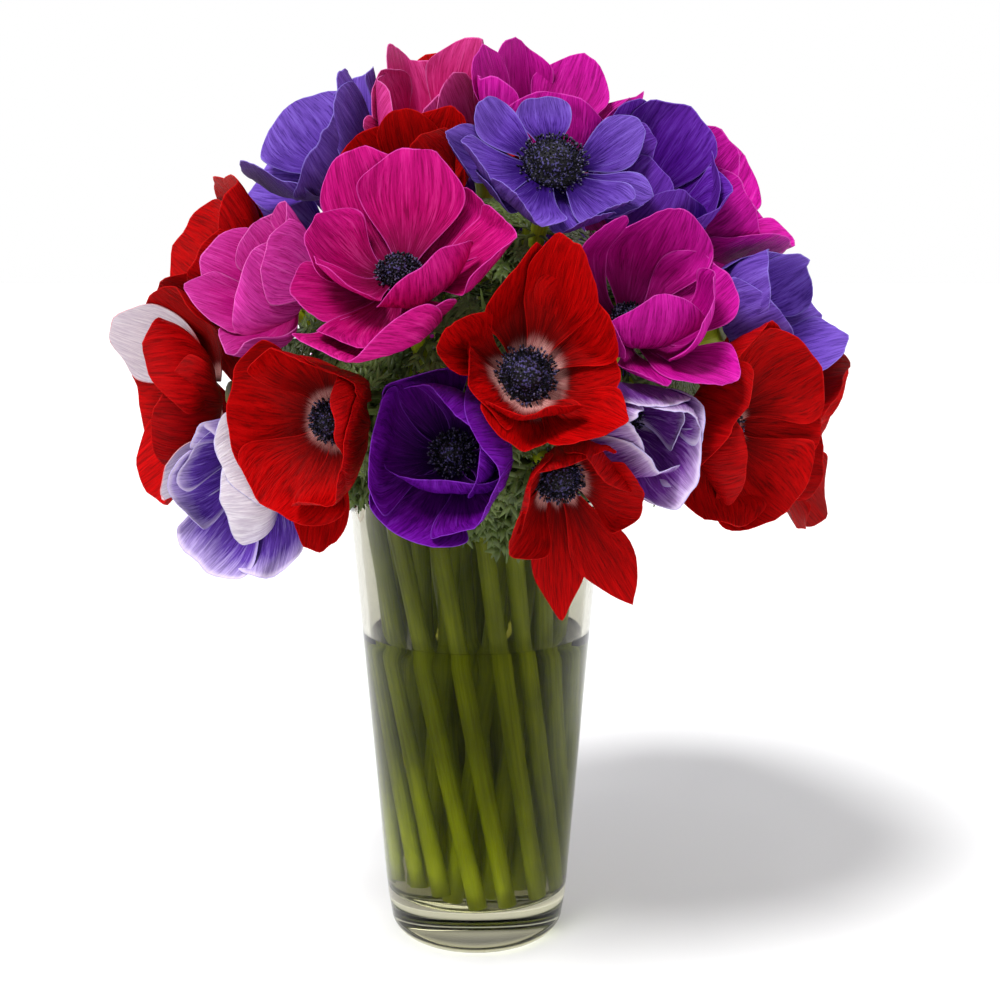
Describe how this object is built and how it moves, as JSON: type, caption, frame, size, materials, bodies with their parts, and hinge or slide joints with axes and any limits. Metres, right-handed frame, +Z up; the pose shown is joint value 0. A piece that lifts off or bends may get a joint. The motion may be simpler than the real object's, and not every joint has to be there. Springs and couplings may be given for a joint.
{
  "type": "anemone bouquet in a glass vase",
  "caption": "Rounded bouquet of red, magenta and violet anemones with dark centres, standing in a tapered clear glass vase part filled with water.",
  "frame": {"origin": "middle of the vase's flat foot", "axes": "+Z up along the vase's axis, -Y towards the front of the bouquet, +X to its right as seen from the front"},
  "size_m": [0.2783, 0.2863, 0.3549],
  "materials": {
    "petals_red": "satin",
    "petals_magenta": "satin",
    "petals_violet": "satin",
    "petals_purple": "satin",
    "petals_plum": "satin",
    "petals_pink": "satin",
    "stems": "satin",
    "centres": "matte",
    "glass": "gloss",
    "water": "gloss"
  },
  "bodies": {
    "root": {"bloom_violet_front": "petals_violet", "stem_violet_front": "stems", "bloom_magenta_front": "petals_magenta", "stem_magenta_front": "stems", "bloom_red_front": "petals_red", "stem_red_front": "stems", "bloom_red_left": "petals_red", "stem_red_left": "stems", "bloom_purple_front": "petals_purple", "stem_purple_front": "stems", "bloom_red_low": "petals_red", "stem_red_low": "stems", "bloom_violet_right": "petals_violet", "stem_violet_right": "stems", "bloom_magenta_right": "petals_magenta", "stem_magenta_right": "stems", "bloom_red_right": "petals_red", "stem_red_right": "stems", "bloom_red_far_right": "petals_red", "stem_red_far_right": "stems", "bloom_violet_far_right": "petals_violet", "stem_violet_far_right": "stems", "bloom_magenta_high_right": "petals_magenta", "stem_magenta_high_right": "stems", "bloom_violet_high_right": "petals_plum", "stem_violet_high_right": "stems", "bloom_magenta_top": "petals_magenta", "stem_magenta_top": "stems", "bloom_pink_top": "petals_pink", "stem_pink_top": "stems", "bloom_violet_top_left": "petals_violet", "stem_violet_top_left": "stems", "bloom_red_top": "petals_red", "stem_red_top": "stems", "bloom_pink_left": "petals_pink", "stem_pink_left": "stems", "bloom_red_high_left": "petals_red", "stem_red_high_left": "stems", "bloom_red_far_left": "petals_red", "stem_red_far_left": "stems", "bloom_violet_low_left": "petals_violet", "stem_violet_low_left": "stems", "bloom_red_back_right": "petals_red", "stem_red_back_right": "stems", "bloom_violet_back_low": "petals_violet", "stem_violet_back_low": "stems", "bloom_magenta_back_low": "petals_magenta", "stem_magenta_back_low": "stems", "bloom_red_back_left": "petals_red", "stem_red_back_left": "stems", "bloom_magenta_back_right": "petals_magenta", "stem_magenta_back_right": "stems", "bloom_plum_back": "petals_plum", "stem_plum_back": "stems", "bloom_violet_back_left": "petals_violet", "stem_violet_back_left": "stems", "bloom_red_back_high": "petals_red", "stem_red_back_high": "stems", "vase": "glass", "water": "water"}
  },
  "joints": []
}
